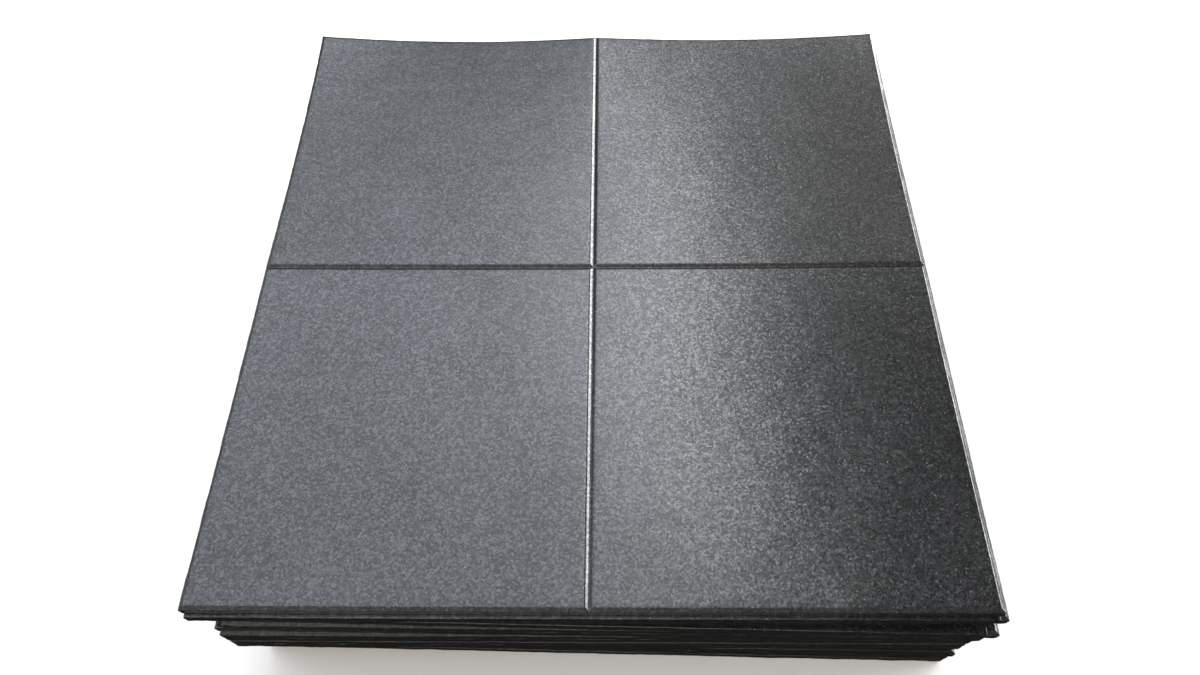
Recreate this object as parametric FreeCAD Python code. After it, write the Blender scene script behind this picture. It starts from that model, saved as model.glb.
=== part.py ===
import FreeCAD, Part
import math
import os

# A free-standing stack of square, moulded rubber-granule mats, laid down one by one by hand.
# Millimetres, +Z up. The front of the stack faces -Y. The origin is on the floor, under the
# middle of the whole stack's box.
#
# Every mat is the same moulding: a smooth back, and a face that two V-grooves divide into
# 2 x 2 panels. The rim of the face has a bevel that is half of such a groove.

SIDE = 1000.0  # a mat's side, edge to edge
THICK = 20.0  # a mat's thickness, back to face
BEVEL = 5.0  # width of the rim's bevel, and half the width of a groove
DEPTH = 3.5  # depth of the bevel and of the grooves
HALF = SIDE / 2

# How each mat lies, from the bottom one to the top one: the middle's offset to the right and
# to the rear, to the nearest 5 mm, and the turn to the nearest half degree, counter-clockwise
# from above. The lowest mats are turned the most, and the second from the top sticks out in front.
LAY = [
    (20, 5, -1.0),
    (20, 5, -1.0),
    (25, 5, -1.0),
    (10, 0, -0.5),
    (10, 0, 0.0),
    (5, -5, 0.0),
    (5, -5, 0.0),
    (5, -5, 0.0),
    (5, -5, 0.0),
    (10, -5, -0.5),
    (25, -5, -0.5),
    (5, -5, -1.0),
    (20, 0, 0.0),
    (0, -5, 0.0),
    (0, 0, 0.0),
]

# The mats near the top carry too little weight to be pressed flat, so they keep some of the
# warp that they were stored with: their rear corners stand up and each rear panel is dished.
WARP = (0.22, 0.46, 0.72, 1.0)  # share of the full warp, for the last mats up to the top one
WARP_GAP = 0.3  # air under a warped mat, so that it only just clears the one below
REAR_LEFT_RISE = 16.0  # full rise of the rear left corner
REAR_RIGHT_RISE = 12.0
REAR_MIDDLE_RISE = 8.0  # full rise of the rear edge where the groove meets it
SIDE_RISE = 4.0  # full rise of the middle of the left and right edges
FRONT_RISE = 3.0  # full rise of the two front corners


def rise(x, y):
    """The full warp's height at a point of a mat, from the mat's own middle. Never negative."""
    s = abs(x) / HALF
    t = abs(y) / HALF
    side = SIDE_RISE * s**2 * (1 - t) ** 3
    if y < 0:
        return side + FRONT_RISE * s**2 * t**2
    corner = REAR_LEFT_RISE if x < 0 else REAR_RIGHT_RISE
    dip = 1 + math.sqrt(corner / REAR_MIDDLE_RISE)  # the rear edge touches down at s = 1 / dip
    return side + REAR_MIDDLE_RISE * (1 - dip * s) ** 2 * t**3


def cubic_poles(a, b, c, d):
    """Poles of the cubic Bezier that passes evenly through four values."""
    return [a, (-5 * a + 18 * b - 9 * c + 2 * d) / 6, (2 * a - 9 * b + 18 * c - 5 * d) / 6, d]


def thirds(a, b):
    return [a + (b - a) * i / 3 for i in range(4)]


def patch(x0, x1, y0, y1, warp, level):
    """A warped rectangle, level above the warp's own surface."""
    heights = [[warp * rise(x, y) + level for y in thirds(y0, y1)] for x in thirds(x0, x1)]
    across = [cubic_poles(*column) for column in heights]
    poles = list(zip(*[cubic_poles(*row) for row in zip(*across)]))
    surface = Part.BezierSurface()
    surface.increase(3, 3)
    for i, x in enumerate(thirds(x0, x1), 1):
        for j, y in enumerate(thirds(y0, y1), 1):
            surface.setPole(i, j, FreeCAD.Vector(x, y, poles[i - 1][j - 1]))
    return surface.toShape()


def rail(start, end, warp, level):
    """The edge of such a patch, from one corner to the next."""
    xs = thirds(start[0], end[0])
    ys = thirds(start[1], end[1])
    zs = cubic_poles(*[warp * rise(x, y) + level for x, y in zip(xs, ys)])
    curve = Part.BezierCurve()
    curve.setPoles([FreeCAD.Vector(*point) for point in zip(xs, ys, zs)])
    return curve.toShape()


def corners(sx, sy, margin):
    """A panel's corners, in from its outline by margin: middle, side, outer, front or rear."""
    near = margin
    far = HALF - margin
    return [(sx * x, sy * y) for x, y in ((near, near), (far, near), (far, far), (near, far))]


def warped_mat(warp, face_down):
    """A mat sewn from patches that share their edges, back or face lowest."""
    back, rim, face = (THICK, DEPTH, 0.0) if face_down else (0.0, THICK - DEPTH, THICK)
    faces = []
    for sx in (-1, 1):
        for sy in (-1, 1):
            outline = corners(sx, sy, 0.0)
            inset = corners(sx, sy, BEVEL)
            faces.append(patch(0.0, sx * HALF, 0.0, sy * HALF, warp, back))
            faces.append(patch(inset[0][0], inset[2][0], inset[0][1], inset[2][1], warp, face))
            for i in range(4):
                j = (i + 1) % 4
                at_rim = rail(outline[i], outline[j], warp, rim)
                at_face = rail(inset[i], inset[j], warp, face)
                faces.append(Part.makeRuledSurface(at_rim, at_face))
            for i, j in ((1, 2), (2, 3)):
                at_back = rail(outline[i], outline[j], warp, back)
                at_rim = rail(outline[i], outline[j], warp, rim)
                faces.append(Part.makeRuledSurface(at_back, at_rim))
    shell = Part.makeShell(faces)
    shell.sewShape()
    solid = Part.makeSolid(Part.Shell(shell.Faces))
    if solid.Volume < 0:
        solid.reverse()
    return solid


def flat_mat(face_down):
    """A plain slab, cut by one V: along both middle lines, and along the rim as its bevel."""
    solid = Part.makeBox(SIDE, SIDE, THICK, FreeCAD.Vector(-HALF, -HALF, 0))
    centre = FreeCAD.Vector(0, 0, 0)
    up = FreeCAD.Vector(0, 0, 1)
    for x in (-HALF, 0.0, HALF):
        v = Part.makePolygon(
            [
                FreeCAD.Vector(x - BEVEL, -HALF, THICK),
                FreeCAD.Vector(x, -HALF, THICK - DEPTH),
                FreeCAD.Vector(x + BEVEL, -HALF, THICK),
                FreeCAD.Vector(x - BEVEL, -HALF, THICK),
            ]
        )
        groove = Part.Face(v).extrude(FreeCAD.Vector(0, SIDE, 0))
        solid = solid.cut(groove)
        groove.rotate(centre, up, 90)
        solid = solid.cut(groove)
    if face_down:
        solid.rotate(FreeCAD.Vector(0, 0, THICK / 2), FreeCAD.Vector(1, 0, 0), 180)
    return solid.Solids[0]


def stack():
    """Every mat in its place, from the bottom up."""
    mats = []
    floor = 0.0
    for number, (right, rear, turn) in enumerate(LAY, 1):
        # The bottom mat lies on its back. From there up the mats lie face to face and back
        # to back in turn, which protects the faces, and the top one shows its face.
        face_down = number % 2 == 0
        from_first_warped = number - 1 - (len(LAY) - len(WARP))
        if from_first_warped < 0:
            mat = flat_mat(face_down)
        else:
            floor += WARP_GAP
            mat = warped_mat(WARP[from_first_warped], face_down)
        mat.rotate(FreeCAD.Vector(0, 0, 0), FreeCAD.Vector(0, 0, 1), turn)
        mat.translate(FreeCAD.Vector(right, rear, floor))
        mats.append(mat)
        floor += THICK
    return mats


def centre_on_origin(mats):
    box = Part.makeCompound(mats).BoundBox
    for mat in mats:
        mat.translate(FreeCAD.Vector(-box.Center.x, -box.Center.y, 0))


os.makedirs("parts", exist_ok=True)
mats = stack()
centre_on_origin(mats)
for number, mat in enumerate(mats, 1):
    mat.exportStep(f"parts/mat_{number:02d}.step")
    print(f"mat_{number:02d}", "valid" if mat.isValid() else "not valid", f"{mat.Volume / 1e6:.3f} litres")
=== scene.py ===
import math

import bpy
import numpy as np
from mathutils import Matrix, Vector


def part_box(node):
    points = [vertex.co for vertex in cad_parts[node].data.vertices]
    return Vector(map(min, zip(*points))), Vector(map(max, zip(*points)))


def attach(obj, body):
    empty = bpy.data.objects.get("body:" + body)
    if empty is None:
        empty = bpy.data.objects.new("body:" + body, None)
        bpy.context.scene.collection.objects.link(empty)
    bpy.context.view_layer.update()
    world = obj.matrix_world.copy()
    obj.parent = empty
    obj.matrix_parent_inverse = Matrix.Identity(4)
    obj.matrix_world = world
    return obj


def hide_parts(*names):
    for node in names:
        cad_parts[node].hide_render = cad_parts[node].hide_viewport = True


# A free-standing stack of square rubber-granule mats. Metres, +Z up, front towards -Y.
# Every CAD mat is replaced by a moulded one with the same place, size, grooves and warp.

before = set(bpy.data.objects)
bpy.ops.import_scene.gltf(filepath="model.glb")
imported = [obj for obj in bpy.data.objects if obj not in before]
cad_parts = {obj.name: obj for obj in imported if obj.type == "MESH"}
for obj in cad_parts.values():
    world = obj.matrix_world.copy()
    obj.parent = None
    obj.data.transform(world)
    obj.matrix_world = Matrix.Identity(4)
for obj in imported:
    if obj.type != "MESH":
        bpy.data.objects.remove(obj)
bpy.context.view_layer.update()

SIDE = 1.0
HALF = SIDE / 2
THICK = 0.020
BEVEL = 0.005  # width of the rim's bevel, and half the width of a groove
DEPTH = 0.0035  # depth of the bevel and of the grooves
MAT_NODES = sorted(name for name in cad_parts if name.startswith("mat_"))

# The warp that the top mats keep, as in the CAD model.
WARP = (0.22, 0.46, 0.72, 1.0)  # share of the full warp, for the last mats up to the top one
REAR_LEFT_RISE = 0.016
REAR_RIGHT_RISE = 0.012
REAR_MIDDLE_RISE = 0.008
SIDE_RISE = 0.004
FRONT_RISE = 0.003

# The moulding's finish.
EDGE_ROUNDING = 0.0005  # how softly the V's walls meet the face
ROOT_ROUNDING = 0.0002  # how softly they meet each other
BACK_ROUNDING = 0.0008  # size of the rounded edge between the back and the side
RING_PULL = 0.6  # how far in the side's lowest ring of points is, in such roundings
BACK_INSET = 1.6  # and how far in the back's own edge is
EVEN_STEP = 0.008  # mesh spacing across a mat
TOP_EVEN_STEP = 0.006  # and across the top one
FACE_WAVE = 0.00008  # how uneven the face is
BACK_WAVE = 0.00006
WAVE_LENGTHS = (0.03, 0.15)
WAVE_COUNT = 20
RIM_RAGGED = 0.00018  # how uneven the outline is, at each of two spacings
RIM_SPACINGS = (0.004, 0.03)
RIM_REACH = 0.8  # how far in that unevenness goes, as a share of the bevel
WALL_RAGGED = 0.00004  # how uneven each ring of points on the side is, in and out
RING_RAGGED = 0.0001  # and up and down

# The granulate.
COARSE_GRAIN = 0.0027
FINE_GRAIN = 0.0016
COARSE_SHARE = 0.65  # how much of the shade comes from the coarse grains
DARK_GRAIN = (0.003, 0.003, 0.0031, 1)
PALE_GRAIN = (0.020, 0.020, 0.0205, 1)
FLECK = (0.10, 0.10, 0.10, 1)
COARSE_TILT = 0.015
FINE_TILT = 0.02

# The camera, fitted to where the top mat's outlines and grooves are in the photo: its
# settings, and its eye from the middle of the top mat's face.
LENS = 26.4
SENSOR_WIDTH = 36
SHIFT_UP = -0.056  # the photo looks cropped, so its middle isn't where the camera pointed
LEFT_TURN = -1.84  # degrees, as are the next two
DOWN_TILT = 56.55
ROLL = 1.72
EYE_RIGHT = 0.034
EYE_FRONT = 0.741
EYE_UP = 1.112

# The light and the floor.
BAND_LEVEL = 4.8
WINDOW_LEVEL = 17.0
GLOW_LEVEL = 0.85
UPPER_FILL = 0.08
LOWER_FILL = 0.02
COOL_LEFT = (0.91, 0.98, 1.09, 1)
WARM_RIGHT = (1.0, 0.98, 0.94, 1)
LOW_SKY = (0.98, 1.0, 1.02, 1)
WARM_FRONT = (1.0, 0.97, 0.90, 1)
BACKDROP = (0.97, 0.97, 0.97, 1)
PALE_FLOOR = (0.93, 0.90, 0.86, 1)
FLOOR_REACH = 30.0


def rise(x, y):
    """The full warp's height, from a mat's middle, for arrays of points."""
    s = np.abs(x) / HALF
    t = np.abs(y) / HALF
    corner = np.where(x < 0, REAR_LEFT_RISE, REAR_RIGHT_RISE)
    dip = 1 + np.sqrt(corner / REAR_MIDDLE_RISE)
    rear = REAR_MIDDLE_RISE * (1 - dip * s) ** 2 * t**3
    front = FRONT_RISE * s**2 * t**2
    return SIDE_RISE * s**2 * np.clip(1 - t, 0, None) ** 3 + np.where(y < 0, front, rear)


# ---------------------------------------------------------------- node trees


class Tree:
    """Short calls for building one material's or the world's nodes."""

    def __init__(self, tree):
        self.tree = tree
        self.shader = tree.nodes.get("Principled BSDF")

    def node(self, kind, inputs=(), **settings):
        made = self.tree.nodes.new("ShaderNode" + kind)
        for key, value in settings.items():
            setattr(made, key, value)
        for key, value in dict(inputs).items():
            self.feed(value, made.inputs[key])
        return made

    def feed(self, value, socket):
        if isinstance(value, bpy.types.NodeSocket):
            self.tree.links.new(value, socket)
        else:
            socket.default_value = value

    def math(self, operation, a, b=0.0):
        return self.node("Math", {0: a, 1: b}, operation=operation).outputs[0]

    def vector(self, operation, a, b):
        return self.node("VectorMath", {0: a, 1: b}, operation=operation).outputs

    def product(self, value, *others):
        for other in others:
            value = self.math("MULTIPLY", value, other)
        return value

    def total(self, value, *others):
        for other in others:
            value = self.math("ADD", value, other)
        return value

    def ramp(self, value, low, high, to_low=0.0, to_high=1.0, kind="LINEAR"):
        inputs = {"Value": value, "From Min": low, "From Max": high}
        inputs |= {"To Min": to_low, "To Max": to_high}
        return self.node("MapRange", inputs, interpolation_type=kind).outputs[0]

    def soft(self, value, low, high, to_low=0.0, to_high=1.0):
        return self.ramp(value, low, high, to_low, to_high, kind="SMOOTHSTEP")

    def mix(self, share, a, b):
        return self.node("Mix", {0: share, 6: a, 7: b}, data_type="RGBA").outputs[2]


# ---------------------------------------------------------------- camera, light, floor


def place_camera():
    """Above the front edge, looking steeply down over the top mat."""
    low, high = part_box(MAT_NODES[-1])
    middle = (Vector(low) + Vector(high)) / 2
    flat_top = Vector(low).z + THICK
    camera = bpy.data.objects.new("camera", bpy.data.cameras.new("camera"))
    camera.data.lens = LENS
    camera.data.sensor_width = SENSOR_WIDTH
    camera.data.shift_y = SHIFT_UP
    yaw, pitch, roll = math.radians(LEFT_TURN), math.radians(DOWN_TILT), math.radians(ROLL)
    turn = Matrix.Rotation(-yaw, 4, "Z") @ Matrix.Rotation(math.pi / 2 - pitch, 4, "X")
    turn = turn @ Matrix.Rotation(-roll, 4, "Z")
    eye = Vector((middle.x + EYE_RIGHT, middle.y - EYE_FRONT, flat_top + EYE_UP))
    camera.matrix_world = Matrix.Translation(eye) @ turn
    bpy.context.scene.collection.objects.link(camera)
    bpy.context.scene.camera = camera


def light_studio():
    """A studio dome, by direction: a wide soft panel over the left, a brighter band over the
    middle that fades to the dark right, a glow from the rear and a low window on the right.
    The limits of its ramps were set against the photo's average brightness."""
    world = bpy.data.worlds.new("studio")
    world.use_nodes = True
    world.node_tree.nodes.clear()
    tree = Tree(world.node_tree)
    direction = tree.node("SeparateXYZ", {0: tree.node("TexCoord").outputs["Generated"]})
    x, y, z = direction.outputs
    height = tree.math("MAXIMUM", z, 0.04)  # kept off 0, because it divides
    right = tree.math("DIVIDE", x, height)  # how far a direction leans right, per unit of height
    rear = tree.math("DIVIDE", y, height)

    # The panel and the band both end on the right, a little further out towards the front.
    across = tree.math("SUBTRACT", right, tree.ramp(rear, 0.2, 0.5, 0.05, 0.0))
    panel = tree.product(
        tree.soft(rear, 0.1, 0.6, 2.3, 3.5),
        tree.soft(rear, 0.7, 1.15, 1.0, 0.35),
        tree.soft(right, -0.8, -0.2, 0.75, 1.0),
        tree.soft(across, 0.20, 0.08),
    )
    band = tree.product(
        tree.soft(across, -0.12, 0.06),
        BAND_LEVEL,
        tree.soft(across, 0.20, 0.07),
        tree.soft(rear, 0.1, 0.45),
        tree.soft(rear, 0.7, 1.15, 1.0, 0.7),
    )
    glow = tree.soft(rear, 0.50, 0.76, 0.0, GLOW_LEVEL)
    ceiling = tree.math("MAXIMUM", tree.total(panel, band), glow)
    ceiling = tree.product(ceiling, tree.soft(rear, -0.7, -0.1), tree.soft(z, 0.25, 0.50))

    # The window stands to the right and a little to the rear, just above the horizon.
    flat = tree.math("SQRT", tree.math("SUBTRACT", 1.0, tree.product(z, z)))
    toward = tree.total(tree.product(x, 0.87), tree.product(y, 0.5))
    window = tree.product(
        tree.soft(tree.math("DIVIDE", toward, flat), 0.87, 0.93, 0.0, WINDOW_LEVEL),
        tree.soft(z, 0.08, 0.18),
        tree.soft(z, 0.48, 0.40),
    )

    # Fills: from the front, from both far sides at the horizon, and a weak one from everywhere.
    front = tree.product(tree.soft(y, 0.0, -0.4), tree.ramp(z, -0.1, 0.1))
    front_level = tree.soft(x, -0.1, 0.4, 0.8, 0.3)
    far_side = tree.soft(tree.math("ABSOLUTE", x), 0.6, 0.85)
    horizon = tree.soft(tree.math("ABSOLUTE", z), 0.15, 0.05)
    below = tree.ramp(z, 0.05, -0.1)
    light = tree.total(
        ceiling,
        window,
        tree.ramp(below, 0.0, 1.0, UPPER_FILL, LOWER_FILL),
        tree.product(front, front_level),
        tree.product(far_side, horizon),
    )

    colour = tree.mix(tree.ramp(right, -0.1, 0.3), COOL_LEFT, WARM_RIGHT)
    colour = tree.mix(tree.ramp(z, 0.5, 0.4), colour, LOW_SKY)
    colour = tree.mix(tree.math("MAXIMUM", front, below), colour, WARM_FRONT)
    dome = tree.node("Background", {"Color": colour, "Strength": light})
    backdrop = tree.node("Background", {"Color": BACKDROP})
    camera_ray = tree.node("LightPath").outputs["Is Camera Ray"]
    mix = tree.node("MixShader", {0: camera_ray, 1: dome.outputs[0], 2: backdrop.outputs[0]})
    tree.node("OutputWorld", {0: mix.outputs[0]})
    bpy.context.scene.world = world
    bpy.context.scene.view_settings.view_transform = "Standard"


def lay_floor():
    mesh = bpy.data.meshes.new("floor")
    reach = FLOOR_REACH
    corners = [(-reach, -reach, 0), (reach, -reach, 0), (reach, reach, 0), (-reach, reach, 0)]
    mesh.from_pydata(corners, [], [(0, 1, 2, 3)])
    floor = bpy.data.objects.new("floor", mesh)
    bpy.context.scene.collection.objects.link(floor)
    paint = bpy.data.materials.new("pale_floor")
    paint.use_nodes = True
    shader = paint.node_tree.nodes["Principled BSDF"]
    shader.inputs["Base Color"].default_value = PALE_FLOOR
    shader.inputs["Roughness"].default_value = 0.9
    shader.inputs["Specular IOR Level"].default_value = 0.2
    mesh.materials.append(paint)
    floor.visible_glossy = False


# ---------------------------------------------------------------- material


def granulate_material():
    """Bonded rubber crumb: dark grains of two sizes that differ in shade and gloss, each with
    its own tilt, and a few pale flecks."""
    material = bpy.data.materials.new("granulate")
    material.use_nodes = True
    tree = Tree(material.node_tree)
    place = tree.node("TexCoord").outputs["Object"]

    def grains(size):
        made = tree.node("TexVoronoi", {"Vector": place, "Scale": 1 / size, "Randomness": 1.0})
        picks = tree.node("SeparateColor", {0: made.outputs["Color"]})
        return made, picks.outputs

    coarse, coarse_pick = grains(COARSE_GRAIN)
    fine, fine_pick = grains(FINE_GRAIN)
    cloud = tree.node("TexNoise", {"Vector": place, "Scale": 7.0, "Detail": 4.0}).outputs["Fac"]

    # Squaring leaves most grains dark, and the cloud makes wide areas a little paler or darker.
    shade = tree.total(
        tree.product(tree.math("POWER", coarse_pick[0], 2.0), COARSE_SHARE),
        tree.product(tree.math("POWER", fine_pick[0], 2.0), 1 - COARSE_SHARE),
        tree.ramp(cloud, 0.3, 0.7, -0.06, 0.06),
    )
    dark = tree.mix(shade, DARK_GRAIN, PALE_GRAIN)
    fleck = tree.ramp(fine_pick[1], 0.985, 0.995, 0.0, 0.6)
    tree.feed(tree.mix(fleck, dark, FLECK), tree.shader.inputs["Base Color"])

    tree.feed(tree.ramp(shade, 0.0, 0.8, 0.46, 0.98), tree.shader.inputs["Specular IOR Level"])
    rough = tree.total(coarse_pick[2], fine_pick[2])
    tree.feed(tree.ramp(rough, 0.0, 2.0, 0.15, 0.26), tree.shader.inputs["Roughness"])

    def tilted(made, slope):
        """Height of grains that each lean their own way, most of them only a little."""
        lean = tree.vector("SUBTRACT", made.outputs["Color"], (0.5, 0.5, 0.5))[0]
        cubed = tree.vector("MULTIPLY", tree.vector("MULTIPLY", lean, lean)[0], lean)[0]
        away = tree.vector("SUBTRACT", place, made.outputs["Position"])[0]
        along = tree.vector("DOT_PRODUCT", away, cubed)["Value"]
        return tree.product(along, 8 * slope)  # 8 times the cube of 0.5, the most lean, is 1

    relief = tree.total(tilted(coarse, COARSE_TILT), tilted(fine, FINE_TILT))
    bump = tree.node("Bump", {"Height": relief, "Strength": 1.0, "Distance": 1.0})
    tree.feed(bump.outputs[0], tree.shader.inputs["Normal"])
    return material


# ---------------------------------------------------------------- the mats' meshes


def soft_max(a, b, radius):
    """The larger of two values, rounded over where they meet."""
    return 0.5 * (a + b + np.sqrt((a - b) ** 2 + radius**2))


def grid_lines(step):
    """Where the mesh's lines lie across a mat: close together at the groove and the rim."""
    close = BEVEL * np.array([0.0, 0.07, 0.18, 0.4, 0.65, 0.85, 0.96, 1.06, 1.2, 1.5, 2.1, 3.0])
    count = round((HALF - 2 * close[-1]) / step)
    even = np.linspace(close[-1], HALF - close[-1], count + 1)
    side = np.concatenate([close[:-1], even, (HALF - close[:-1])[::-1]])
    return np.concatenate([-side[:0:-1], side])


def vee_depth(across):
    """Depth of the moulding's V at a distance across the mat: at the middle and at the rim."""
    away = np.minimum(np.abs(across), HALF - np.abs(across))
    away = np.sqrt(away**2 + ROOT_ROUNDING**2)
    return soft_max(DEPTH * (1 - away / BEVEL), 0.0, EDGE_ROUNDING)


def waves(rng, x, y):
    """A gentle random surface around 0, a sum of straight waves."""
    total = np.zeros_like(x)
    for _ in range(WAVE_COUNT):
        angle, phase = rng.uniform(0, 2 * math.pi, 2)
        pitch = 2 * math.pi / rng.uniform(*WAVE_LENGTHS)
        total += np.cos(pitch * (x * math.cos(angle) + y * math.sin(angle)) + phase)
    return total / math.sqrt(WAVE_COUNT)


def ragged(rng, along):
    """Uneven offsets along an edge, one for each point."""
    offsets = np.zeros_like(along)
    for spacing in RIM_SPACINGS:
        spots = np.arange(-HALF - spacing, HALF + 2 * spacing, spacing)
        offsets += np.interp(along, spots, rng.normal(0, RIM_RAGGED, len(spots)))
    return offsets


def roughen_rim(rng, x, y):
    """Pushes points near a mat's outline in and out, most at the outline itself."""
    reach = RIM_REACH * BEVEL
    new_x, new_y = x.copy(), y.copy()
    for sign in (-1, 1):
        near_x = np.clip(1 - (HALF - sign * x) / reach, 0, 1)
        near_y = np.clip(1 - (HALF - sign * y) / reach, 0, 1)
        new_x += sign * near_x * ragged(rng, y)
        new_y += sign * near_y * ragged(rng, x)
    return new_x, new_y


def rim_loop(n):
    """Indices of an n by n grid's rim, counter-clockwise."""
    grid = np.arange(n * n).reshape(n, n)
    return np.concatenate([grid[:-1, 0], grid[-1, :-1], grid[:0:-1, -1], grid[0, :0:-1]])


def grid_faces(n):
    grid = np.arange(n * n).reshape(n, n)
    quads = [grid[:-1, :-1], grid[1:, :-1], grid[1:, 1:], grid[:-1, 1:]]
    return np.stack(quads, -1).reshape(-1, 4)


def wall_faces(above, below):
    """Faces between two closed loops of points."""
    return np.stack([above, below, np.roll(below, -1), np.roll(above, -1)], -1)


def mat_points(rng, step):
    """Points and faces of one flat mat, face up, with its back at z = 0."""
    lines = grid_lines(step)
    n = len(lines)
    x, y = (a.ravel() for a in np.meshgrid(lines, lines, indexing="ij"))
    loop = rim_loop(n)

    depth = np.maximum(vee_depth(x), vee_depth(y))
    face_z = THICK - depth + FACE_WAVE * waves(rng, x, y)
    face_x, face_y = roughen_rim(rng, x, y)
    layers = [np.stack([face_x, face_y, face_z], -1)]
    faces = [grid_faces(n)]

    # The side, ring by ring, from under the bevel down to the back's rounded edge: a ring's
    # share of the wall's height, and how far the edge's rounding pulls it in.
    rings = [(0.96, 0.0), (0.8, 0.0), (0.6, 0.1), (0.4, 0.0), (0.2, 0.1)]
    rings += [(0.08, 0.3), (0.02, 1.0)]
    wall = THICK - DEPTH
    above = loop
    start = n * n
    for level, pull in rings:
        inward = 1 - pull * BACK_ROUNDING * RING_PULL / HALF
        ring_x = face_x[loop] * inward + rng.normal(0, WALL_RAGGED, len(loop))
        ring_y = face_y[loop] * inward + rng.normal(0, WALL_RAGGED, len(loop))
        ring_z = np.full(len(loop), wall * level) + rng.normal(0, RING_RAGGED, len(loop))
        layers.append(np.stack([ring_x, ring_y, ring_z], -1))
        below = start + np.arange(len(loop))
        faces.append(wall_faces(above, below))
        above = below
        start += len(loop)

    shrink = 1 - BACK_ROUNDING * BACK_INSET / HALF
    back_z = BACK_WAVE * waves(rng, x, y)
    layers.append(np.stack([x * shrink, y * shrink, np.clip(back_z, 0, None)], -1))
    faces.append(grid_faces(n)[:, ::-1] + start)
    faces.append(wall_faces(above, start + loop))
    return np.concatenate(layers), np.concatenate(faces)


def lie_of(node):
    """Where a CAD mat lies: its middle, its underside's height and its turn."""
    low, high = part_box(node)
    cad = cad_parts[node]
    points = np.array([tuple(cad.matrix_world @ v.co) for v in cad.data.vertices])
    front_left = points[np.argmin(points[:, 0] + points[:, 1])]
    front_right = points[np.argmax(points[:, 0] - points[:, 1])]
    along = front_right - front_left
    return (low[0] + high[0]) / 2, (low[1] + high[1]) / 2, low[2], math.atan2(along[1], along[0])


def make_mat(number, node, material):
    """One moulded mat, laid where its CAD mat lies."""
    rng = np.random.default_rng(number)
    top = number == len(MAT_NODES)
    points, faces = mat_points(rng, TOP_EVEN_STEP if top else EVEN_STEP)
    if number % 2 == 0:  # laid face down
        points[:, 2] = THICK - points[:, 2]
        faces = faces[:, ::-1]
    from_first_warped = number - 1 - (len(MAT_NODES) - len(WARP))
    if from_first_warped >= 0:
        points[:, 2] += WARP[from_first_warped] * rise(points[:, 0], points[:, 1])
    middle_x, middle_y, underside, turn = lie_of(node)
    cos, sin = math.cos(turn), math.sin(turn)
    x, y = points[:, 0].copy(), points[:, 1].copy()
    points[:, 0] = x * cos - y * sin + middle_x
    points[:, 1] = x * sin + y * cos + middle_y
    points[:, 2] += underside

    mesh = bpy.data.meshes.new(f"rubber_{node}")
    mesh.from_pydata(points.tolist(), [], faces.tolist())
    mesh.polygons.foreach_set("use_smooth", np.ones(len(mesh.polygons), bool))
    mesh.materials.append(material)
    piece = bpy.data.objects.new(f"rubber_{node}", mesh)
    bpy.context.scene.collection.objects.link(piece)
    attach(piece, node)
    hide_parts(node)


place_camera()
light_studio()
lay_floor()
granulate = granulate_material()
for number, node in enumerate(MAT_NODES, 1):
    make_mat(number, node, granulate)
